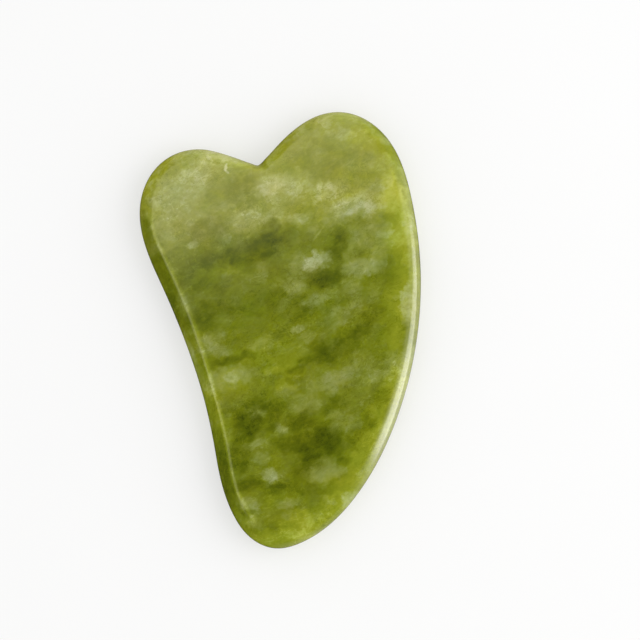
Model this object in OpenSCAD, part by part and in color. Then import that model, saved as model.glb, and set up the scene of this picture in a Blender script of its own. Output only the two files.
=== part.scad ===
// Heart-shaped gua sha scraper: one flat plate of polished jade with a rounded, hand-ground edge.
//
// The plate lies on the XY plane and rests on its lower face at z = 0. +Y points to the notched end
// with its two lobes, and +X to the long convex edge. The origin is the middle of the plate's outline
// box, on the lower face. Millimetres throughout.

/* [Plate] */
// Overall length, from the rounded tip to the top of the tall lobe
plate_length = 71; // [50:0.5:110]
// Overall width, from the short lobe to the convex edge
plate_width = 45.8; // [32:0.2:71]
// Thickness between the two flat faces
plate_thickness = 6; // [4:0.25:10]

/* [Edge] */
// How far the rounding reaches in from the outline, where it is widest
edge_width = 2.5; // [1:0.1:2.8]
// Steepest angle at which the ground edge of the concave side meets the flat faces, in degrees
crease_angle = 28; // [5:1:50]

/* [Smoothness] */
// Longest straight stretch along the outline
facet_length = 1.3; // [1:0.1:4]
// Rounding steps between the middle of the edge and a flat face
edge_steps = 6; // [3:1:8]

/* [Hidden] */

jade_green = "#858C3A";

// The size at which the anchors below are laid out, so that other sizes stretch them.
drawn_length = 71;
drawn_width = 45.8;

// Fewest steps on one span of the outline, however short it is.
min_span_steps = 4;

// How far the ground edge's band reaches in under the flat faces, so that it overlaps the core.
overlap = 0.4;

// The outline runs counterclockwise through these anchors. Each one is:
//   [x, y, heading of the outline in degrees, share of edge_width, share of crease_angle]
anchors = [
    [  9.4,  35.5,  180.0, 0.80, 0.00], // top of the tall lobe
    [ -0.5,  30.0,  227.5, 0.72, 0.00], // straight flank down to the notch
    [ -3.3,  27.0,  225.0, 0.56, 0.00], // notch, tall lobe's side
    [ -4.8,  27.15, 162.0, 0.56, 0.00], // notch, short lobe's side
    [ -8.5,  28.45, 163.0, 0.64, 0.00], // straight flank up to the short lobe
    [-13.2,  29.45, 180.0, 0.68, 0.10], // top of the short lobe
    [-19.7,  26.9,  224.0, 0.68, 0.35], // shoulder of the short lobe
    [-22.9,  19.0,  270.0, 0.84, 0.65], // outermost point of the short lobe
    [-19.3,   7.2,  294.5, 0.96, 1.00], // where the concave side begins
    [-13.0,  -9.2,  286.5, 0.74, 1.00], // middle of the concave side
    [-10.4, -21.0,  279.5, 0.92, 1.00], // where the concave side ends
    [ -6.9, -31.4,  302.0, 0.92, 0.60], // shoulder of the tip
    [ -0.3, -35.5,    0.0, 0.88, 0.10], // end of the rounded tip
    [  4.4, -34.1,   27.0, 0.88, 0.00], // tip into the convex edge
    [ 12.8, -26.4,   54.0, 0.92, 0.00], // convex edge, lower part
    [ 20.0, -11.4,   72.5, 0.96, 0.00], // convex edge, middle
    [ 22.9,   7.7,   90.0, 0.96, 0.00], // outermost point of the convex edge
    [ 21.3,  21.8,  102.5, 0.90, 0.00], // convex edge into the tall lobe
    [ 16.8,  31.95, 132.5, 0.84, 0.00], // shoulder of the tall lobe
];

function place(a) = [a[0] * plate_width / drawn_width, a[1] * plate_length / drawn_length];

function direction(angle) = [cos(angle), sin(angle)];

// Signed turn from one heading to the next, between -180 and 180 degrees.
function turn(from, to) = (to - from + 540) % 360 - 180;

// Handle length that makes a cubic curve follow a circular arc of this chord and turn.
function handle(chord, angle) = chord / (3 * pow(cos(angle / 4), 2));

function cubic(p, a, b, q, t) =
    pow(1 - t, 3) * p + 3 * pow(1 - t, 2) * t * a + 3 * (1 - t) * t * t * b + pow(t, 3) * q;

function mix(from, to, t) = from + (to - from) * t;

function ease(t) = t * t * (3 - 2 * t);

// Stations of one span: [x, y, edge width, crease angle] at equal steps, without its last point.
function span(from, to) =
    let (
        p = place(from),
        q = place(to),
        chord = norm(q - p),
        reach = handle(chord, turn(from[2], to[2])),
        a = p + reach * direction(from[2]),
        b = q - reach * direction(to[2]),
        steps = max(min_span_steps, ceil(chord / facet_length))
    )
    [for (i = [0 : steps - 1])
        let (t = i / steps, c = cubic(p, a, b, q, t))
        [c[0], c[1],
         edge_width * mix(from[3], to[3], ease(t)),
         crease_angle * mix(from[4], to[4], ease(t))]];

stations = [for (i = [0 : len(anchors) - 1])
    each span(anchors[i], anchors[(i + 1) % len(anchors)])];

n_stations = len(stations);

// Unit vector from the outline into the plate, square to the outline at a station.
function inward(i) =
    let (
        before = stations[(i + n_stations - 1) % n_stations],
        after = stations[(i + 1) % n_stations],
        along = [after[0] - before[0], after[1] - before[1]]
    )
    [-along[1], along[0]] / norm(along);

// Inset of the edge at a height, where rise is 0 at mid-thickness and 1 at a flat face. The section
// is part of an ellipse that meets the face at the crease angle, so a crease of 0 leaves no line.
function inset(width, crease, rise) =
    let (reach = 90 - crease, angle = asin(rise * sin(reach)))
    width * (1 - cos(angle)) / (1 - cos(reach));

// Rings run from the lower face, round the middle of the edge, to the upper face.
rises = [for (k = [-edge_steps : edge_steps]) sin(90 * k / edge_steps)];

function inset_point(i, rise) =
    let (s = stations[i])
    [s[0], s[1]] + inset(s[2], s[3], abs(rise)) * inward(i);

function ring(rise) =
    [for (i = [0 : n_stations - 1])
        let (p = inset_point(i, rise))
        [p[0], p[1], plate_thickness / 2 * (1 + rise)]];

// The part between the two flat faces, with upright sides.
module flat_core() {
    linear_extrude(height = plate_thickness)
        polygon([for (i = [0 : n_stations - 1]) inset_point(i, 1)]);
}

// Ring of the band's inner wall, at the lower face (rise -1) or the upper face (rise 1).
function wall_ring(rise) =
    [for (i = [0 : n_stations - 1])
        let (p = inset_point(i, 1) + overlap * inward(i))
        [p[0], p[1], plate_thickness / 2 * (1 + rise)]];

// The ground edge, as a closed band that overlaps the core.
module rounded_edge() {
    n_rings = len(rises) + 2;
    band_faces = [for (k = [0 : n_rings - 1], i = [0 : n_stations - 1])
        let (
            j = (i + 1) % n_stations,
            low = k * n_stations,
            high = (k + 1) % n_rings * n_stations
        )
        [low + i, high + i, high + j, low + j]];
    band_points = concat([for (rise = rises) each ring(rise)], wall_ring(1), wall_ring(-1));
    polyhedron(points = band_points, faces = band_faces, convexity = 6);
}

module jade_plate() {
    color(jade_green) {
        flat_core();
        rounded_edge();
    }
}

jade_plate();
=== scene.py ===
"""Looks of the heart-shaped gua sha scraper: one hand-polished jade plate on a pale studio floor.

The CAD plate gives the outline, the sizes and the section of the ground edge. The stone shown here has
the same shape on a finer mesh, with a small round along the crease of the edge and the faint ripple
that hand polishing leaves. Lengths are in metres, and MM turns millimetres into them.
"""

import math

import bpy
import bmesh
import numpy as np
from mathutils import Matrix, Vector, noise
from mathutils.geometry import delaunay_2d_cdt


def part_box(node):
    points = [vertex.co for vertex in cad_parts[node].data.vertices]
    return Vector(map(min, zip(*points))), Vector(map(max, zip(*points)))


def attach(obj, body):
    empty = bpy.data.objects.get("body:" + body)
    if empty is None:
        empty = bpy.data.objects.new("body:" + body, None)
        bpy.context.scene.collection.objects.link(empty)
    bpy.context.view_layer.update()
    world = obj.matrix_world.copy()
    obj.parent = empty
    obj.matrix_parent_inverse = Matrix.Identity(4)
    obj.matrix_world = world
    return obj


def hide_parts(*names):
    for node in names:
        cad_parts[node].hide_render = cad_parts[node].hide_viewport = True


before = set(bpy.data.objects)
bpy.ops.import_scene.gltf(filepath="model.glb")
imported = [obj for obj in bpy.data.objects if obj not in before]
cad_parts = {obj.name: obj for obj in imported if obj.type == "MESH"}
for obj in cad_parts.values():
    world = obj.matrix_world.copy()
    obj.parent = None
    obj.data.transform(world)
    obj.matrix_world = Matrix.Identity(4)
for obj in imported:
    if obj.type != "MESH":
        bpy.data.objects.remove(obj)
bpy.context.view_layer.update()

MM = 0.001

# The stone's mesh
STATION_SPLIT = 4  # steps between two of the CAD plate's stations along the outline
SECTION_STEPS = 8  # steps between two of the CAD plate's rings up the edge
EDGE_ROWS = 57  # rows of the finished edge, from one flat face round to the other
ROUNDING_PASSES = 9  # passes that round the crease, each over one row to either side
FLAT_MARGIN = 1.1 * MM  # how far the rows of the edge run on over a flat face
FACE_GRID = 0.62 * MM  # spacing of the points inside a flat face
RIM_GAP = 0.6 * FACE_GRID  # least distance of those points from the rim of the face
RIPPLE_DEPTH = 0.022 * MM
RIPPLE_LENGTH = 6.5 * MM
RING_GAP = 0.01 * MM  # points nearer in height than this are on one ring of the CAD plate
DOUBLES_GAP = 0.001 * MM  # points nearer than this are one point
FILL_INSIDE = 1  # tells the triangulation to fill only the inside of its loop

# The camera looks straight down on the plate. Shares are of the side of the square picture.
LENGTH_SHARE = 0.682  # how much of the side the plate's length takes up
LEFT_SHARE = 0.062  # how far left of the picture's middle the plate lies
LOW_SHARE = 0.016  # how far below the picture's middle it lies
LENS = 100  # focal length in millimetres
SENSOR = 36  # width of the camera's sensor in millimetres
NEAREST_SEEN = 10 * MM

plate_low, plate_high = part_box("jade_plate")
plate_centre = (plate_low + plate_high) / 2
plate_size = plate_high - plate_low


# Mesh of the stone

def merged_points(mesh):
    """The mesh's points as rows of x, y, z, with the doubles between its faces merged."""
    copy = bmesh.new()
    copy.from_mesh(mesh)
    bmesh.ops.remove_doubles(copy, verts=copy.verts, dist=DOUBLES_GAP)
    points = np.array([vertex.co for vertex in copy.verts], float)
    copy.free()
    return points


def cad_rings(node):
    """The CAD plate's points as rings[height][station], counterclockwise, with stations in step."""
    points = merged_points(node.data)
    points = points[np.argsort(points[:, 2])]
    rings = []
    for ring in np.split(points, np.where(np.diff(points[:, 2]) > RING_GAP)[0] + 1):
        around = np.arctan2(ring[:, 1] - plate_centre.y, ring[:, 0] - plate_centre.x)
        ring = ring[np.argsort(around)]
        if rings:
            gaps = np.linalg.norm(ring[:, :2] - rings[-1][0, :2], axis=1)
            ring = np.roll(ring, -np.argmin(gaps), axis=0)
        rings.append(ring)
    return np.array(rings)


def closed_spline(values, places, period, wanted):
    """Smooth closed cubic curve through values[k] at places[k], read at the wanted places."""
    count = len(places)
    after = np.roll(np.arange(count), -1)
    step = np.append(np.diff(places), period - places[-1] + places[0])
    slope = (values[after] - values) / step[:, None]
    system = np.zeros((count, count))
    for k in range(count):
        system[k, k - 1] += step[k - 1]
        system[k, k] += 2 * (step[k - 1] + step[k])
        system[k, after[k]] += step[k]
    bend = np.linalg.solve(system, 6 * (slope - np.roll(slope, 1, axis=0)))
    k = np.searchsorted(places, wanted, side="right") - 1
    n = after[k]
    h = step[k][:, None]
    t = (wanted - places[k])[:, None] / h
    curve = (bend[k] * (1 - t) * (t * t - 2 * t) - bend[n] * t * (1 - t * t)) * h * h / 6
    return values[k] * (1 - t) + values[n] * t + curve


def finer_stations(rings):
    """The rings with STATION_SPLIT steps for each of their own, on smooth curves."""
    middle = rings[len(rings) // 2]
    lengths = np.linalg.norm(np.roll(middle, -1, axis=0) - middle, axis=1)
    places = np.concatenate([[0.0], np.cumsum(lengths)[:-1]])
    shares = np.arange(STATION_SPLIT) / STATION_SPLIT
    wanted = (places[:, None] + lengths[:, None] * shares).ravel()
    return np.array([closed_spline(ring, places, lengths.sum(), wanted) for ring in rings])


def finer_section(rings):
    """The rings with SECTION_STEPS steps for each of their own, by cubics through four rings."""
    nodes = np.arange(4)
    finer = []
    for place in np.linspace(0, len(rings) - 1, (len(rings) - 1) * SECTION_STEPS + 1):
        first = int(np.clip(math.floor(place) - 1, 0, len(rings) - 4))
        ring = np.zeros_like(rings[0])
        for k in nodes:
            others = nodes[nodes != k]
            ring += rings[first + k] * np.prod((place - first - others) / (k - others))
        finer.append(ring)
    return np.array(finer)


def edge_rows(rings):
    """Evenly spaced rows from the lower face round the edge to the upper face, the creases rounded."""
    inward = rings[0] - rings[len(rings) // 2]
    inward[:, 2] = 0
    inward /= np.linalg.norm(inward, axis=1)[:, None]
    margin = inward * FLAT_MARGIN
    path = np.concatenate([[rings[0] + margin], rings, [rings[-1] + margin]])
    steps = np.linalg.norm(np.diff(path, axis=0), axis=2)
    travel = np.concatenate([np.zeros((1, steps.shape[1])), np.cumsum(steps, axis=0)])
    rows = np.empty((EDGE_ROWS, path.shape[1], 3))
    for station in range(path.shape[1]):
        even = np.linspace(0, travel[-1, station], EDGE_ROWS)
        for axis in range(3):
            rows[:, station, axis] = np.interp(even, travel[:, station], path[:, station, axis])
    for _ in range(ROUNDING_PASSES):
        rows[1:-1] = (rows[:-2] + 2 * rows[1:-1] + rows[2:]) / 4
    return rows


def inside(points, loop):
    """True for each of the points that lies in the closed loop."""
    after = np.roll(loop, -1, axis=0)
    x, y = points[:, :1], points[:, 1:]
    spans = (loop[:, 1] > y) != (after[:, 1] > y)
    rise = np.where(after[:, 1] == loop[:, 1], 1, after[:, 1] - loop[:, 1])
    crossing = loop[:, 0] + (y - loop[:, 1]) / rise * (after[:, 0] - loop[:, 0])
    return (spans & (x < crossing)).sum(axis=1) % 2 == 1


def face_fill(loop):
    """(new points, triangles) that fill the loop with an even net. Points count on from the loop's."""
    low, high = loop.min(axis=0), loop.max(axis=0)
    row_gap = FACE_GRID * math.sqrt(3) / 2
    net = []
    for row, y in enumerate(np.arange(low[1], high[1], row_gap)):
        shift = FACE_GRID / 2 * (row % 2)
        net += [(x, y) for x in np.arange(low[0] + shift, high[0], FACE_GRID)]
    net = np.array(net)
    net = net[inside(net, loop)]
    gaps = np.array([np.linalg.norm(loop - point, axis=1).min() for point in net])
    net = net[gaps > RIM_GAP]
    flat = [Vector(point) for point in np.concatenate([loop, net])]
    filled = delaunay_2d_cdt(flat, [], [list(range(len(loop)))], FILL_INSIDE, 1e-9)
    source = [first[0] for first in filled[3]]
    return net, [[source[corner] for corner in face] for face in filled[2]]


def describe_rim(mesh, outline, face_loop):
    """Marks each point with its distance in from the outline, in millimetres (rim_depth), and with the
    way that the nearest edge faces, as a unit vector (outward)."""
    points = np.array([vertex.co for vertex in mesh.vertices], float)[:, :2]
    outward = outline - face_loop
    outward /= np.linalg.norm(outward, axis=1)[:, None]
    nearest = np.array([np.argmin(((outline - point) ** 2).sum(axis=1)) for point in points])
    depth = mesh.attributes.new("rim_depth", "FLOAT", "POINT")
    depth.data.foreach_set("value", np.linalg.norm(points - outline[nearest], axis=1) / MM)
    facing = mesh.attributes.new("outward", "FLOAT_VECTOR", "POINT")
    facing.data.foreach_set("vector", np.pad(outward[nearest], ((0, 0), (0, 1))).ravel())


def edge_faces(n_rows, n_stations):
    """Quads between the rows of the edge, all the way round."""
    faces = []
    for row in range(n_rows - 1):
        for station in range(n_stations):
            after = (station + 1) % n_stations
            low, high = row * n_stations, (row + 1) * n_stations
            faces.append((low + station, low + after, high + after, high + station))
    return faces


def polish_by_hand(mesh):
    """Turns all faces outwards, presses a faint ripple into the surface and shades it smooth."""
    stone = bmesh.new()
    stone.from_mesh(mesh)
    bmesh.ops.recalc_face_normals(stone, faces=stone.faces)
    stone.normal_update()
    for vertex in stone.verts:
        ripple = noise.fractal(vertex.co / RIPPLE_LENGTH, 0.9, 2.0, 2)
        vertex.co -= vertex.normal * RIPPLE_DEPTH * (0.5 + 0.5 * ripple)
    for face in stone.faces:
        face.smooth = True
    stone.to_mesh(mesh)
    stone.free()


def stone_mesh(node):
    """The plate's fine mesh: the edge as a net of quads and each flat face as a net of triangles."""
    rings = finer_stations(cad_rings(node))
    rows = edge_rows(finer_section(rings))
    n_rows, n_stations = rows.shape[:2]
    points = [tuple(point) for point in rows.reshape(-1, 3)]
    faces = edge_faces(n_rows, n_stations)
    for row in (0, n_rows - 1):
        net, triangles = face_fill(rows[row, :, :2])
        first_new = len(points)
        height = rows[row, 0, 2]
        points += [(x, y, height) for x, y in net]
        for triangle in triangles:
            faces.append([row * n_stations + corner if corner < n_stations
                          else first_new + corner - n_stations for corner in triangle])
    mesh = bpy.data.meshes.new("jade_stone")
    mesh.from_pydata(points, [], faces)
    polish_by_hand(mesh)
    describe_rim(mesh, rings[len(rings) // 2, :, :2], rings[-1, :, :2])
    return mesh


# Node trees

def srgb(red, green, blue):
    """A screen colour, each part from 0 to 255, as the linear colour that nodes take."""
    linear = []
    for part in (red, green, blue):
        part /= 255
        linear.append(part / 12.92 if part <= 0.04045 else ((part + 0.055) / 1.055) ** 2.4)
    return (*linear, 1.0)


def heading(azimuth, elevation=0):
    """Unit vector: azimuth turns from +X towards +Y, elevation up from the floor, both in degrees."""
    turn, tilt = math.radians(azimuth), math.radians(elevation)
    return Vector((math.cos(turn) * math.cos(tilt), math.sin(turn) * math.cos(tilt), math.sin(tilt)))


def within(angle):
    """The least dot product of two unit vectors that are no more than this many degrees apart."""
    return math.cos(math.radians(angle))


class Tree:
    """A node tree, with short calls for the nodes that this script uses."""

    def __init__(self, owner):
        owner.use_nodes = True
        self.tree = owner.node_tree
        self.tree.nodes.clear()

    def put(self, socket, value):
        """Links the value to the socket if it is another node's output, or else sets it."""
        if isinstance(value, bpy.types.NodeSocket):
            self.tree.links.new(value, socket)
        else:
            socket.default_value = value

    def node(self, kind, inputs, **settings):
        """A new node of this kind, with its inputs put and its settings set."""
        made = self.tree.nodes.new(kind)
        for name, value in settings.items():
            setattr(made, name, value)
        for name, value in inputs.items():
            self.put(made.inputs[name], value)
        return made

    def math(self, operation, a, b=0.0, clamp=False):
        made = self.node("ShaderNodeMath", {0: a, 1: b}, operation=operation, use_clamp=clamp)
        return made.outputs[0]

    def times(self, *values):
        product = values[0]
        for value in values[1:]:
            product = self.math("MULTIPLY", product, value)
        return product

    def sum(self, *values):
        total = values[0]
        for value in values[1:]:
            total = self.math("ADD", total, value)
        return total

    def vector(self, operation, a, b):
        return self.node("ShaderNodeVectorMath", {0: a, 1: b}, operation=operation).outputs[0]

    def dot(self, a, b):
        made = self.node("ShaderNodeVectorMath", {0: a, 1: b}, operation="DOT_PRODUCT")
        return made.outputs["Value"]

    def remap(self, value, low, high, to_low=0.0, to_high=1.0):
        """Goes smoothly from to_low, where the value is low, to to_high, where it is high."""
        inputs = {"Value": value, "From Min": low, "From Max": high, "To Min": to_low, "To Max": to_high}
        return self.node("ShaderNodeMapRange", inputs, interpolation_type="SMOOTHSTEP").outputs[0]

    def toward(self, vector, azimuth, *limits):
        """Remap of how far the vector points to the azimuth: 1 is straight to it and 0 square to it."""
        return self.remap(self.dot(vector, heading(azimuth)), *limits)

    def noise(self, place, scale, detail=2.0, roughness=0.5, distortion=0.0):
        inputs = {"Vector": place, "Scale": scale, "Detail": detail, "Roughness": roughness,
                  "Distortion": distortion}
        return self.node("ShaderNodeTexNoise", inputs).outputs["Fac"]

    def spread(self, size, place, *noise_settings):
        """Noise that goes by about size to each side of 0."""
        return self.times(self.math("SUBTRACT", self.noise(place, *noise_settings), 0.5), 4 * size)

    def wander(self, place, *steps):
        """The place, moved about by noise: each step is (scale, how far)."""
        moved = place
        for scale, far in steps:
            inputs = {"Vector": place, "Scale": scale, "Detail": 2.0}
            colour = self.node("ShaderNodeTexNoise", inputs).outputs["Color"]
            centred = self.vector("SUBTRACT", colour, (0.5, 0.5, 0.5))
            moved = self.vector("ADD", moved, self.vector("MULTIPLY", centred, (2 * far,) * 3))
        return moved

    def cells(self, place, scale):
        """Voronoi cells: (distance from the cell's centre, the cell's random value)."""
        made = self.node("ShaderNodeTexVoronoi", {"Vector": place, "Scale": scale})
        chance = self.node("ShaderNodeSeparateColor", {"Color": made.outputs["Color"]}).outputs[0]
        return made.outputs["Distance"], chance

    def turned(self, vector, centre, angle, size):
        """The vector seen from centre, turned by angle about z, in units of size."""
        inputs = {"Vector": vector, "Location": centre, "Rotation": (0, 0, math.radians(angle)),
                  "Scale": size}
        return self.node("ShaderNodeMapping", inputs, vector_type="TEXTURE").outputs[0]

    def ramp(self, value, colours):
        """The colours in even steps, the first where the value is 0 and the last where it is 1."""
        made = self.node("ShaderNodeValToRGB", {"Fac": value})
        elements = made.color_ramp.elements
        while len(elements) < len(colours):
            elements.new(0.5)
        for step, colour in enumerate(colours):
            elements[step].position = step / (len(colours) - 1)
            elements[step].color = srgb(*colour)
        return made.outputs["Color"]

    def mix(self, share, a, b, blend="MIX"):
        """Colour a where the share is 0, and b, or a blended with b, where it is 1."""
        made = self.node("ShaderNodeMix", {"Factor": share}, data_type="RGBA", blend_type=blend)
        self.put(made.inputs[6], a)
        self.put(made.inputs[7], b)
        return made.outputs[2]


# Jade

# Clouds in the stone. Each is (across, along, length, width, angle, strength): its place as shares of
# the plate's half width and half length from its middle, its size in millimetres, the angle of its long
# side in degrees, and how strongly it shows.
MILKY_CLOUDS = [
    (0.27, 0.31, 4.0, 2.4, 25, 0.58),  # the whitest cloud
    (-0.67, -0.06, 6.0, 1.6, -70, 0.16),
    (0.14, 0.29, 4.0, 3.2, 60, 0.22),
    (0.56, 0.28, 5.4, 2.4, 5, 0.34),
    (0.50, 0.21, 3.4, 3.4, 0, 0.18),
    (0.51, 0.33, 3.0, 2.4, 0, 0.10),
    (0.24, 0.14, 3.2, 1.8, 15, 0.28),
    (0.10, 0.20, 3.6, 2.4, 15, 0.24),
    (0.16, 0.68, 3.8, 3.6, 0, 0.18),
    (0.68, 0.53, 4.0, 2.4, 10, 0.16),
    (-0.07, 0.48, 6.0, 2.0, 22, 0.15),
    (0.45, 0.51, 3.0, 1.8, 10, 0.12),
    (0.41, 0.65, 3.2, 2.4, 0, 0.11),
    (0.07, 0.60, 3.4, 2.0, 10, 0.12),
    (-0.14, -0.07, 4.0, 2.0, 20, 0.14),
    (0.49, -0.76, 3.6, 2.4, 50, 0.32),
    (-0.55, 0.81, 7.0, 1.6, 0, 0.14),
    (0.21, -0.03, 3.6, 1.7, 30, 0.16),
    (0.06, -0.28, 3.4, 1.8, 15, 0.16),
    (0.07, -0.84, 3.0, 1.6, 0, 0.14),
    (-0.05, 0.66, 6.0, 3.4, 10, 0.24),
    (0.46, 0.56, 4.4, 2.6, 10, 0.26),
    (0.31, 0.63, 4.0, 2.4, 10, 0.16),
    (0.42, -0.09, 2.6, 2.0, 0, 0.10),
    (0.64, 0.61, 5.0, 4.6, 0, 0.24),
    (0.12, 0.50, 2.4, 2.0, 20, 0.28),
    (0.24, 0.45, 1.8, 1.4, 40, 0.16),
    (-0.24, 0.50, 4.6, 3.0, 20, 0.18),
    (-0.70, 0.63, 8.0, 5.0, 30, 0.20),
    (-0.81, 0.48, 3.0, 3.0, 0, 0.16),
    (-0.60, 0.52, 3.4, 2.4, 20, 0.12),
    (-0.61, 0.39, 1.8, 1.5, 0, 0.36),
    (-0.57, 0.73, 5.0, 3.2, 0, 0.16),
    (-0.37, 0.72, 4.0, 1.6, -18, 0.10),
    (0.44, 0.90, 2.4, 1.8, 20, 0.16),
    (0.62, 0.41, 8.0, 5.0, 20, 0.24),
    (0.58, 0.54, 5.0, 2.2, 10, 0.26),
    (-0.61, 0.13, 3.0, 2.0, 30, 0.12),
    (-0.45, -0.03, 3.4, 2.2, 20, 0.26),
    (-0.43, -0.09, 3.2, 2.2, 0, 0.34),
    (0.14, 0.01, 2.3, 1.4, 15, 0.30),
    (0.41, 0.07, 4.6, 3.0, 30, 0.24),
    (0.24, 0.25, 3.4, 1.6, 20, 0.20),
    (0.54, 0.10, 3.0, 2.2, 30, 0.08),
    (-0.41, 0.05, 3.4, 2.2, 40, 0.12),
    (-0.21, -0.19, 3.0, 2.0, 20, 0.14),
    (0.90, 0.12, 6.0, 2.2, 88, 0.28),
    (-0.06, 0.52, 4.6, 1.8, 25, 0.12),
    (0.37, -0.23, 3.8, 3.2, 10, 0.26),
    (0.56, -0.19, 5.4, 4.6, 20, 0.13),
    (-0.38, -0.22, 7.0, 3.4, 18, 0.22),  # crosses the ground edge
    (0.79, -0.16, 4.0, 3.0, 90, 0.16),
    (-0.52, -0.07, 3.0, 2.4, 90, 0.16),
    (-0.36, -0.31, 5.0, 2.6, 20, 0.09),
    (0.19, -0.34, 5.0, 3.2, 0, 0.20),
    (0.24, -0.26, 2.6, 2.0, 0, 0.18),
    (0.38, -0.38, 3.0, 2.0, 10, 0.16),
    (0.48, -0.42, 4.2, 2.4, 5, 0.12),
    (-0.16, -0.39, 2.0, 1.4, 10, 0.26),
    (0.03, -0.45, 2.6, 1.4, -5, 0.14),
    (-0.17, -0.52, 4.0, 1.7, 20, 0.26),
    (-0.14, -0.59, 3.0, 2.2, 10, 0.24),
    (-0.07, -0.66, 3.0, 1.8, 10, 0.44),
    (0.32, -0.64, 5.4, 3.2, 8, 0.24),
    (-0.21, -0.78, 3.0, 1.8, 10, 0.20),
    (-0.19, -0.87, 3.2, 2.6, 0, 0.15),
    (0.89, 0.50, 4.5, 1.8, 94, 0.14),
    (-0.59, -0.21, 7.0, 2.0, -74, 0.14),
    (-0.66, -0.05, 6.0, 2.0, -68, 0.06),
    (0.43, 0.30, 4.0, 2.6, 0, 0.10),
    (0.06, -0.78, 3.2, 1.8, 0, 0.22),
]
DARK_CLOUDS = [
    (-0.15, 0.37, 9.0, 2.8, 19, 0.42),  # the band under the pale end
    (0.00, 0.44, 4.0, 2.2, 25, 0.20),
    (-0.42, 0.32, 5.0, 2.2, 15, 0.26),
    (-0.08, 0.46, 3.4, 1.6, 25, 0.26),
    (0.72, -0.38, 4.0, 2.0, 60, 0.18),
    (0.28, -0.44, 3.0, 1.8, 20, 0.20),
    (0.54, 0.35, 3.0, 1.8, 0, 0.16),
    (0.57, 0.24, 3.4, 1.6, 0, 0.14),
    (0.91, 0.62, 4.4, 1.5, 100, 0.18),
    (0.59, -0.47, 5.0, 2.0, 58, 0.20),
    (0.91, -0.02, 3.0, 1.8, 80, 0.18),
    (-0.62, 0.07, 3.0, 2.2, 60, 0.14),
    (-0.45, -0.08, 3.0, 2.0, 0, 0.16),
    (0.41, 0.06, 3.6, 2.0, 30, 0.12),
    (-0.21, 0.30, 3.0, 2.4, 0, 0.20),
    (0.40, 0.38, 4.0, 2.0, 65, 0.30),
    (0.33, 0.24, 5.4, 2.2, 12, 0.42),
    (0.22, 0.53, 3.0, 2.0, 0, 0.20),
    (0.42, 0.44, 3.0, 1.8, 0, 0.22),
    (0.16, 0.13, 3.0, 2.0, 0, 0.14),
    (-0.56, 0.06, 3.6, 3.0, 60, 0.26),
    (-0.48, 0.02, 3.0, 2.4, 40, 0.24),
    (-0.07, 0.12, 6.4, 3.2, 20, 0.18),
    (0.17, 0.08, 3.0, 2.0, 30, 0.22),
    (-0.33, -0.14, 5.4, 1.4, 15, 0.34),
    (0.32, -0.09, 4.4, 3.0, 40, 0.38),  # the band across the middle
    (0.47, -0.05, 3.8, 3.4, 90, 0.22),
    (0.59, 0.01, 4.0, 2.2, 45, 0.30),
    (0.15, -0.15, 3.4, 1.8, 40, 0.36),
    (0.11, -0.23, 2.4, 1.4, 0, 0.20),
    (-0.68, 0.78, 5.0, 2.0, 25, 0.08),
    (-0.06, 0.48, 2.4, 1.4, 0, 0.22),
    (-0.20, -0.35, 4.6, 2.0, 12, 0.26),
    (-0.04, -0.35, 3.0, 2.2, 0, 0.28),
    (0.28, -0.52, 5.4, 3.6, 20, 0.54),  # the darkest patch
    (0.07, -0.50, 4.4, 2.6, 10, 0.34),
    (0.57, -0.44, 4.0, 2.2, 50, 0.22),
    (0.45, -0.56, 4.0, 1.8, 60, 0.32),
    (0.16, -0.41, 4.0, 2.2, 25, 0.40),
    (0.23, -0.60, 2.6, 2.4, 0, 0.30),
    (0.35, -0.34, 3.0, 1.4, 40, 0.24),
    (-0.23, -0.44, 3.6, 3.6, 30, 0.52),
    (-0.29, -0.57, 4.6, 2.6, 90, 0.30),
    (-0.06, -0.42, 2.4, 2.0, 0, 0.26),
    (0.15, -0.64, 3.6, 2.6, 90, 0.30),
    (0.26, -0.72, 4.4, 1.4, 10, 0.16),
    (-0.24, -0.70, 3.6, 1.8, 0, 0.30),
    (0.02, -0.72, 5.0, 1.5, 0, 0.32),
    (-0.22, -0.82, 2.0, 1.2, 0, 0.24),
    (0.73, -0.30, 3.0, 2.0, 50, 0.20),
    (0.70, 0.11, 2.4, 2.4, 0, 0.12),
    (-0.27, 0.64, 5.0, 4.4, 60, 0.26),  # olive, inside the short lobe
    (-0.51, 0.46, 5.0, 3.0, 30, 0.20),
    (-0.59, 0.25, 4.6, 3.6, 30, 0.16),
    (0.30, 0.76, 11.0, 4.4, 12, 0.17),  # olive, inside the tall lobe
    (0.84, 0.73, 7.0, 1.8, -72, 0.24),
    (0.76, 0.79, 3.0, 2.0, -60, 0.06),
    (0.77, 0.27, 3.0, 2.6, 0, 0.14),
    (0.88, 0.33, 3.4, 2.2, 90, 0.22),
    (-0.89, 0.75, 7.0, 2.0, 48, 0.20),
    (-0.74, 0.45, 3.4, 2.4, 0, 0.14),
    (-0.68, 0.34, 3.0, 2.0, 0, 0.12),
    (-0.86, 0.56, 3.0, 2.0, 90, 0.14),
    (-0.97, 0.56, 8.0, 2.0, 88, 0.14),
    (-0.17, 0.76, 3.0, 1.4, -20, 0.16),
    (0.59, 0.68, 4.6, 3.0, 0, 0.16),
    (0.76, 0.50, 3.0, 2.6, 0, 0.16),
    (-0.52, 0.39, 4.0, 2.4, 0, 0.14),
    (-0.88, 0.33, 13.0, 2.6, -66, 0.29),  # along the ground edge, below the short lobe
    (-0.74, 0.08, 6.0, 2.0, -68, 0.24),
    (-0.35, 0.12, 6.0, 2.4, 15, 0.16),
    (-0.44, 0.21, 4.0, 2.4, 0, 0.12),
    (0.38, 0.32, 2.4, 2.0, 90, 0.20),
    (-0.42, -0.60, 11.0, 2.4, -78, 0.36),  # along the ground edge, above the tip
]
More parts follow.
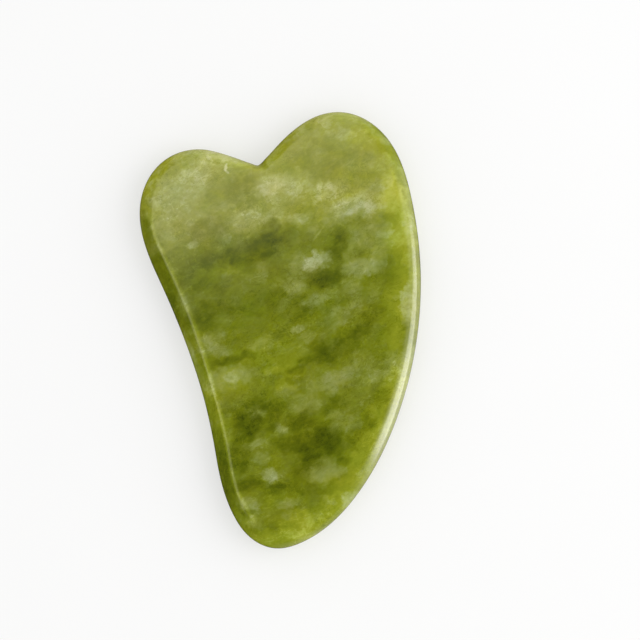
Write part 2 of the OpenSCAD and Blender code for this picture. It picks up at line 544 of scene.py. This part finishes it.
LIME_CLOUDS = [
    (0.83, 0.51, 12.6, 4.8, 98, 0.38),  # the clear stretch at the top of the convex edge
    (0.66, 0.85, 7.0, 3.2, -40, 0.22),
    (0.86, 0.69, 6.0, 2.6, 104, 0.15),
    (0.51, -0.54, 7.0, 2.4, 58, 0.16),
    (-0.15, 0.35, 4.0, 2.0, 25, 0.06),
    (0.90, 0.27, 5.0, 2.0, 88, 0.16),
    (0.69, 0.43, 4.0, 2.6, 0, 0.14),
    (-0.36, 0.30, 10.0, 2.4, 24, 0.26),
    (0.52, 0.87, 3.0, 2.0, 0, 0.14),
    (-0.81, 0.24, 9.0, 2.4, -64, 0.18),
    (-0.85, 0.75, 8.0, 2.4, 46, 0.14),
    (-0.97, 0.57, 9.0, 2.0, 88, 0.18),
    (0.13, -0.19, 3.0, 2.0, 0, 0.14),
    (0.68, 0.35, 4.0, 2.6, 0, 0.14),
    (0.34, -0.70, 4.0, 2.4, 50, 0.14),
    (0.64, -0.42, 7.0, 3.0, 58, 0.16),
    (-0.33, -0.17, 5.0, 1.8, 15, 0.12),
    (0.54, 0.23, 3.0, 1.6, 0, 0.12),
    (0.80, 0.08, 12.0, 3.6, 86, 0.26),
    (0.80, -0.24, 6.0, 3.4, 72, 0.26),
    (0.13, -0.88, 5.6, 3.6, 15, 0.50),
    (0.03, -0.97, 13.0, 4.0, 4, 0.42),
    (0.45, -0.77, 15.0, 4.6, 48, 0.32),
    (0.63, -0.51, 9.0, 3.0, 55, 0.26),
    (-0.07, -0.10, 9.0, 4.6, 10, 0.16),
    (-0.02, -0.17, 5.0, 1.4, 15, 0.24),
    (0.03, -0.25, 4.4, 2.2, 15, 0.26),
    (-0.37, -0.25, 7.0, 3.0, 15, 0.20),
    (-0.62, -0.14, 16.0, 3.2, -70, 0.08),
    (-0.50, -0.37, 9.0, 3.0, -76, 0.20),
    (-0.88, 0.59, 8.0, 2.4, 85, 0.10),
    (-0.93, 0.68, 5.0, 2.4, 75, 0.20),
    (-0.28, -0.90, 8.0, 3.0, -52, 0.22),
]
# Small pale marks, in the same form. They don't lean as the clouds do.
MARKS = [
    (-0.38, 0.74, 1.2, 0.5, -105, 0.44),  # the pale crescent
    (-0.37, 0.72, 0.9, 0.4, -50, 0.44),
    (-0.71, 0.54, 1.6, 0.5, -40, 0.10),
    (0.28, 0.66, 2.0, 1.0, 95, 0.26),
    (0.35, 0.66, 1.8, 0.9, 100, 0.22),
    (0.26, 0.43, 2.2, 0.4, 55, 0.24),
]

CLOUD_LEAN = (0.25, -0.2, 0.0)  # how far the clouds drift for each step down through the stone
GRAIN_ANGLE = 30  # the stone's grain rises to the right
GRAIN_STRETCH = (1.2, 0.85, 1.0)  # along the grain, across it and upwards
FLAKE_STRETCH = (1.15, 0.9, 1.0)
STRAND_ANGLE = 26
STRAND_STRETCH = (3.2, 0.5, 1.0)
SCRATCH_ANGLE = 62
SCRATCH_STRETCH = (9.0, 0.05, 1.0)

# Cottony flakes: (how many to a millimetre, strength)
FLAKES = [(0.34, 0.20), (0.75, 0.12)]
# Thin curving lines: (shift of their noise, its scale, scale of the patches that they come in,
# how far they lighten the stone)
THREADS = [
    ((0, 0, 0), 0.35, 0.12, 0.10),
    ((60, 30, 0), 0.45, 0.10, -0.12),
    ((20, 70, 0), 1.0, 0.14, -0.14),
]
# How far each feature lightens the stone, and how much milk it adds. Less than 0 darkens or clears it.
# The rims' lightening and the line along the crease are painted light; the pale end's lightening and
# milk are partly a painted reflection and partly the stone's own colour.
LIGHTENING = {
    "milky": 0.58, "dark": -0.65, "lime": 0.5, "flakes": 0.4, "marks": 0.5, "pale": 0.21,
    "painted_side_glow": 0.17, "hazy": -0.05, "crease": 0.22, "painted_narrow_rim": 0.16,
}
MILKINESS = {
    "flakes": 1.4, "milky": 1.7, "marks": 1.0, "pale": 0.12, "hazy": 0.22, "lime": -0.84, "dark": -0.7,
}
# Screen colours of the clear stone and of the milky stone, from the darkest tone to the lightest
CLEAR_COLOURS = [(60, 70, 2), (90, 99, 6), (116, 125, 14), (144, 152, 34), (178, 186, 81)]
MILKY_COLOURS = [(62, 72, 14), (92, 100, 32), (118, 126, 60), (146, 154, 94), (188, 194, 152)]
# Tints that the stone's colour is multiplied by
GREENER = (0.93, 1.0, 1.06, 1)
YELLOWER = (1.06, 1.0, 0.91, 1)
OLIVE = (1.06, 1.0, 0.88, 1)


def clouds(t, place, listed, rim, core):
    """How much of the listed clouds is at the place: none past the rim, all of it within the core.
    Each is an ellipse right through the plate. It takes only dot products of (x, y, 1), because the
    renderer has too little room for the vectors of so many clouds."""
    flat = t.vector("ADD", t.vector("MULTIPLY", place, (1, 1, 0)), (0, 0, 1))
    half_size = plate_size / 2 / MM
    total = 0.0
    for across, along, length, width, angle, strength in listed:
        centre = Vector((across * half_size.x, along * half_size.y, 0))
        squares = []
        for axis in (heading(angle) * 2 / length, heading(angle + 90) * 2 / width):
            axis.z = -axis.dot(centre)
            reach = t.dot(flat, axis)
            squares.append(t.times(reach, reach))
        total = t.sum(total, t.remap(t.sum(*squares), rim ** 2, core ** 2, 0.0, strength))
    return total


def threads(t, grain, shift, scale, patch_scale):
    """Thin curving lines that come and go in patches."""
    place = t.vector("ADD", grain, shift)
    ridge = t.math("ABSOLUTE", t.math("SUBTRACT", t.noise(place, scale, 3, 0.6, 0.6), 0.5))
    patches = t.remap(t.noise(t.vector("ADD", place, (17, 5, 0)), patch_scale, 2), 0.48, 0.6)
    return t.times(t.remap(ridge, 0.022, 0.002), patches)


def cottony_flakes(t, place):
    """Soft-edged cells of different sizes, only some of which show."""
    flakes = 0.0
    for scale, strength in FLAKES:
        distance, chance = t.cells(t.turned(place, (0, 0, 0), GRAIN_ANGLE, FLAKE_STRETCH), scale)
        flake = t.times(t.remap(distance, 0.62, 0.25), t.remap(chance, 0.45, 0.8), strength)
        flakes = t.sum(flakes, flake)
    return flakes


def pale_end_and_painted_veil(t, inner):
    """How pale the stone is towards its two lobes, past a soft slanting border, and how hazy in the
    short lobe. The paleness is partly the stone's own colour and partly a painted reflection, a veil
    over that end."""
    slant = t.sum(t.dot(inner, (-0.243, 0.97, 0)), t.spread(2.2, inner, 0.22, 3))
    # Partly the stone's own paler colour and partly a painted reflection.
    pale = t.remap(slant, 13.0, 19.0)
    hazy = t.times(
        t.remap(t.dot(inner, (-1, 0, 0)), -4.0, 9.0),
        t.remap(t.dot(inner, (-0.3, 1, 0)), 2.0, 14.0),
        t.remap(t.dot(inner, (0, 1, 0)), 27.0, 21.0))
    return pale, hazy


def painted_rim_light(t, rim_depth, outward):
    """Painted light at the rim, lightening the stone's colour: a wide band at the lit side and a narrow
    one all round, strongest at the back, for light that would show through the edge, and a painted
    highlight along the crease of the concave side."""
    lit_side = t.toward(outward, -2, 0.75, 0.98)
    back_side = t.toward(outward, 98, 0.5, 0.92)
    # Painted light: the rim's colour is lightened at the lit side and, more narrowly, all round, most at
    # the back.
    painted_side_glow = t.times(t.remap(rim_depth, 5.5, 1.5), lit_side)
    painted_narrow_rim = t.times(t.remap(rim_depth, 2.0, 0.4), t.sum(0.1, t.times(0.9, back_side)))
    # Painted highlight: a pale line in the stone's colour along the crease of the concave side.
    deeper = t.math("SUBTRACT", rim_depth, t.toward(outward, 212, 0.961, 0.995, 0.0, 0.5))
    crease = t.times(
        t.remap(deeper, 1.7, 2.1), t.remap(deeper, 2.8, 2.2), t.toward(outward, 203, 0.93, 0.985))
    return painted_side_glow, painted_narrow_rim, crease


def tinted(t, colour, inner, pale, rim_depth, outward):
    """The colour, greener here and yellower there, and olive at the pale end but for its right rim."""
    yellower = t.math("ADD", 0.5, t.spread(0.5, inner, 0.16, 5, 0.65), clamp=True)
    colour = t.mix(1.0, colour, t.mix(yellower, GREENER, YELLOWER), "MULTIPLY")
    green_rim = t.times(t.remap(rim_depth, 2.4, 1.0), t.toward(outward, 32, 0.8, 0.95))
    olive = t.times(pale, t.sum(1.0, t.times(green_rim, -1.0)))
    return t.mix(olive, colour, t.mix(1.0, colour, OLIVE, "MULTIPLY"))


def polished(t, colour, place, grain):
    """The surface: waxy, with the hairline scratches of the polish, and light that spreads within."""
    scratches = t.turned(place, (0, 0, 0), SCRATCH_ANGLE, SCRATCH_STRETCH)
    roughness = t.math("ADD", 0.09, t.times(t.noise(scratches, 1.0, 2), 0.05))
    relief = t.noise(grain, 1.4, 3)
    bump = t.node("ShaderNodeBump", {"Strength": 0.08, "Distance": 0.02 * MM, "Height": relief})
    return t.node("ShaderNodeBsdfPrincipled", {
        "Base Color": colour, "Roughness": roughness, "IOR": 1.6, "Normal": bump.outputs[0],
        "Subsurface Weight": 0.35, "Subsurface Radius": (1.0, 1.2, 0.4), "Subsurface Scale": 0.9 * MM,
    }).outputs[0]


def jade():
    """Polished green jade: cloudy, grained along one direction, paler at one end, lime at its rims. Its
    colour
    also holds painted light: lighter rims, a pale line along the crease, and part of the pale end's
    veil.
    """
    material = bpy.data.materials.new("jade")
    t = Tree(material)
    place = t.vector("MULTIPLY", t.node("ShaderNodeTexCoord", {}).outputs["Object"], (1 / MM,) * 3)
    rim_depth = t.node("ShaderNodeAttribute", {}, attribute_name="rim_depth").outputs["Fac"]
    outward = t.node("ShaderNodeAttribute", {}, attribute_name="outward").outputs["Vector"]

    height = t.math("SUBTRACT", t.dot(place, (0, 0, 1)), plate_high.z / MM)
    drift = t.node("ShaderNodeVectorMath", {0: CLOUD_LEAN, "Scale": height}, operation="SCALE")
    inner = t.vector("ADD", place, drift.outputs[0])
    grain = t.turned(inner, (0, 0, 0), GRAIN_ANGLE, GRAIN_STRETCH)

    ragged = t.wander(inner, (0.16, 0.9), (0.6, 1.1), (1.5, 0.45), (3.4, 0.1))
    soft = t.wander(inner, (0.16, 0.9), (0.5, 1.4))
    has = {}
    has["milky"] = clouds(t, ragged, MILKY_CLOUDS, 1.45, 0.4)
    bands = clouds(t, soft, DARK_CLOUDS, 1.7, 0.2)
    has["dark"] = t.times(bands, t.sum(1.0, t.spread(0.4, grain, 0.8, 4, 0.7)))
    has["lime"] = clouds(t, soft, LIME_CLOUDS, 1.5, 0.3)
    has["marks"] = clouds(t, t.wander(place, (1.2, 0.25)), MARKS, 1.3, 0.5)
    has["flakes"] = cottony_flakes(t, ragged)
    # The pale end's paleness is partly a painted reflection.
    has["pale"], has["hazy"] = pale_end_and_painted_veil(t, inner)
    # Painted light at the rims and a painted highlight along the crease, all lightening the colour.
    has["painted_side_glow"], has["painted_narrow_rim"], has["crease"] = painted_rim_light(t, rim_depth, outward)

    strands = t.turned(inner, (0, 0, 0), STRAND_ANGLE, STRAND_STRETCH)
    tone = t.sum(
        0.48, t.spread(0.13, grain, 0.25, 6, 0.68, 0.7), t.spread(0.075, grain, 1.7, 4, 0.68),
        t.spread(0.02, strands, 1.0, 3, 0.6),
        *[t.times(has[feature], share) for feature, share in LIGHTENING.items()],
        *[t.times(threads(t, grain, *form), share) for *form, share in THREADS])
    milk = t.sum(
        0.1, t.spread(0.26, grain, 0.3, 5, 0.7, 0.7),
        *[t.times(has[feature], share) for feature, share in MILKINESS.items()])
    milk = t.math("ADD", milk, 0.0, clamp=True)
    colour = t.mix(milk, t.ramp(tone, CLEAR_COLOURS), t.ramp(tone, MILKY_COLOURS))
    colour = tinted(t, colour, inner, has["pale"], rim_depth, outward)
    t.node("ShaderNodeOutputMaterial", {"Surface": polished(t, colour, place, grain)})
    return material


# Studio

FLOOR_SIZE = 6.0
FLOOR_GAP = 0.05 * MM  # the floor lies this far under the plate, so that their faces don't meet
FLOOR_GREYS = ((0.435, 0.435, 0.4325, 1), (0.445, 0.445, 0.445, 1))
FLOOR_GLOW = 0.49
WHITE_LIGHT = (1.0, 0.97, 0.97, 1)
WARM_LIGHT = (1.0, 0.95, 0.70, 1)
SEEN_GREY = (1.0, 1.0, 1.0, 1)  # the surroundings as the camera sees them
SOFT_GREY = (0.92, 0.92, 0.92, 1)  # the surroundings as they light the plate


def floor_material():
    """A pale sheet lit a little from below, which keeps the plate's shadow light."""
    material = bpy.data.materials.new("studio_floor")
    t = Tree(material)
    place = t.node("ShaderNodeTexCoord", {}).outputs["Object"]
    tint = t.mix(t.noise(place, 40.0, 2), *FLOOR_GREYS)
    surface = t.node("ShaderNodeBsdfPrincipled", {
        "Base Color": tint, "Roughness": 0.9, "Specular IOR Level": 0.0,
        "Emission Color": (1.0, 1.0, 0.995, 1), "Emission Strength": FLOOR_GLOW,
    })
    t.node("ShaderNodeOutputMaterial", {"Surface": surface.outputs[0]})
    return material


def studio_floor():
    mesh = bpy.data.meshes.new("floor")
    half = FLOOR_SIZE / 2
    corners = [(x * half, y * half, -FLOOR_GAP) for x, y in ((-1, -1), (1, -1), (1, 1), (-1, 1))]
    mesh.from_pydata(corners, [], [(0, 1, 2, 3)])
    floor = bpy.data.objects.new("floor", mesh)
    bpy.context.scene.collection.objects.link(floor)
    mesh.materials.append(floor_material())
    floor.visible_glossy = False


def mirrored_ceiling(t, direction, upward, flat):
    """A warm ceiling that starts beside the camera and runs back to the far wall. Its near border is
    sharp overhead and soft towards the horizon."""
    border = t.sum(t.dot(direction, (-0.35, 0.935, -0.0625)), t.spread(0.005, direction, 12.0, 2))
    softness = t.sum(0.51, t.times(upward, -0.5))
    back_wall = t.math("MAXIMUM", t.remap(upward, 0.85, 0.97), t.toward(flat, 68, 0.45, 0.9))
    return t.times(
        t.remap(border, t.times(softness, -1.0), softness), back_wall,
        t.remap(upward, -0.3, 0.9, 0.5, 1.3),
        t.toward(flat, 35, 0.8, 0.98, 1.0, 0.2))


def mirrored_panel(t, upward, flat):
    """A bright panel at the right, taller and brighter in front than behind."""
    rise = t.dot(flat, heading(76))
    return t.times(
        t.toward(flat, -10, within(25), within(13)),
        t.remap(t.sum(upward, t.times(rise, -0.3)), -0.40, -0.10),
        t.remap(t.sum(upward, t.times(rise, 0.45)), 0.76, 0.46),
        t.remap(rise, 0.15, -0.05, 4.4, 5.8))


def mirrored_lit_floor(t, upward, flat):
    """The room at the right, lit by the panel: dimmer underfoot, behind and straight to the right."""
    return t.times(
        t.toward(flat, -4, within(39), within(16)),
        t.remap(upward, 1.0, 0.8, 0.0, 1.8),
        t.remap(upward, -0.95, -0.4, 0.15, 1.0),
        t.toward(flat, 70, 0.0, 0.3, 1.0, 0.72),
        t.toward(flat, -2, within(12), within(5), 1.0, 0.8))


def mirrored_studio(t, direction):
    """What the polish mirrors: a ceiling, a panel and the floor it lights, a dimmer floor in front, a
    pale card at the left, and dark elsewhere."""
    upward = t.dot(direction, (0, 0, 1))
    level = t.vector("MULTIPLY", direction, (1, 1, 0))
    flat = t.node("ShaderNodeVectorMath", {0: level}, operation="NORMALIZE").outputs[0]
    ceiling = mirrored_ceiling(t, direction, upward, flat)
    panel = mirrored_panel(t, upward, flat)
    lit_floor = mirrored_lit_floor(t, upward, flat)
    front_floor = t.times(t.toward(flat, -45, 0.5, 0.95), t.remap(upward, 0.3, -0.1), 0.4)
    card = t.times(
        t.toward(flat, 200, within(18), within(12)),
        t.remap(upward, 0.72, 0.84), t.remap(upward, 0.98, 0.92), 1.3)
    white = t.mix(1.0, WHITE_LIGHT, t.sum(0.02, panel, lit_floor, front_floor), "MULTIPLY")
    warm = t.mix(1.0, WARM_LIGHT, t.sum(ceiling, card), "MULTIPLY")
    return t.vector("ADD", warm, white)


def studio_world():
    """Even pale surroundings. The polish alone mirrors a studio with light and dark sides."""
    world = bpy.data.worlds.new("studio")
    bpy.context.scene.world = world
    t = Tree(world)
    ray = t.node("ShaderNodeLightPath", {})
    direction = t.node("ShaderNodeTexCoord", {}).outputs["Generated"]
    light = t.mix(ray.outputs["Is Glossy Ray"], SOFT_GREY, mirrored_studio(t, direction))
    light = t.mix(ray.outputs["Is Camera Ray"], light, SEEN_GREY)
    background = t.node("ShaderNodeBackground", {"Color": light, "Strength": 1.0})
    t.node("ShaderNodeOutputWorld", {"Surface": background.outputs[0]})


def softbox(name, azimuth, elevation, distance, size, radiance):
    """A soft square panel that lights the plate and doesn't show in its polish."""
    light = bpy.data.lights.new(name, "AREA")
    light.shape = "SQUARE"
    light.size = size
    light.energy = radiance * math.pi * size * size
    lamp = bpy.data.objects.new(name, light)
    back = heading(azimuth, elevation)
    lamp.location = plate_centre + back * distance
    lamp.rotation_mode = "QUATERNION"
    lamp.rotation_quaternion = back.to_track_quat("Z", "Y")
    lamp.visible_camera = False
    lamp.visible_glossy = False
    bpy.context.scene.collection.objects.link(lamp)


def camera():
    """The camera, straight above the plate."""
    data = bpy.data.cameras.new("camera")
    data.lens = LENS
    data.sensor_width = SENSOR
    view = bpy.data.objects.new("camera", data)
    bpy.context.scene.collection.objects.link(view)
    side = plate_size.y / LENGTH_SHARE
    distance = side * LENS / SENSOR
    view.location = plate_centre + Vector((LEFT_SHARE * side, LOW_SHARE * side, distance))
    data.clip_start = NEAREST_SEEN
    bpy.context.scene.camera = view


stone = bpy.data.objects.new("jade_stone", stone_mesh(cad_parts["jade_plate"]))
bpy.context.scene.collection.objects.link(stone)
stone.data.materials.append(jade())
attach(stone, "root")
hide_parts("jade_plate")

studio_floor()
studio_world()
softbox("side_light", azimuth=5, elevation=38, distance=0.55, size=0.5, radiance=1.4)
camera()
bpy.context.scene.view_settings.view_transform = "Standard"
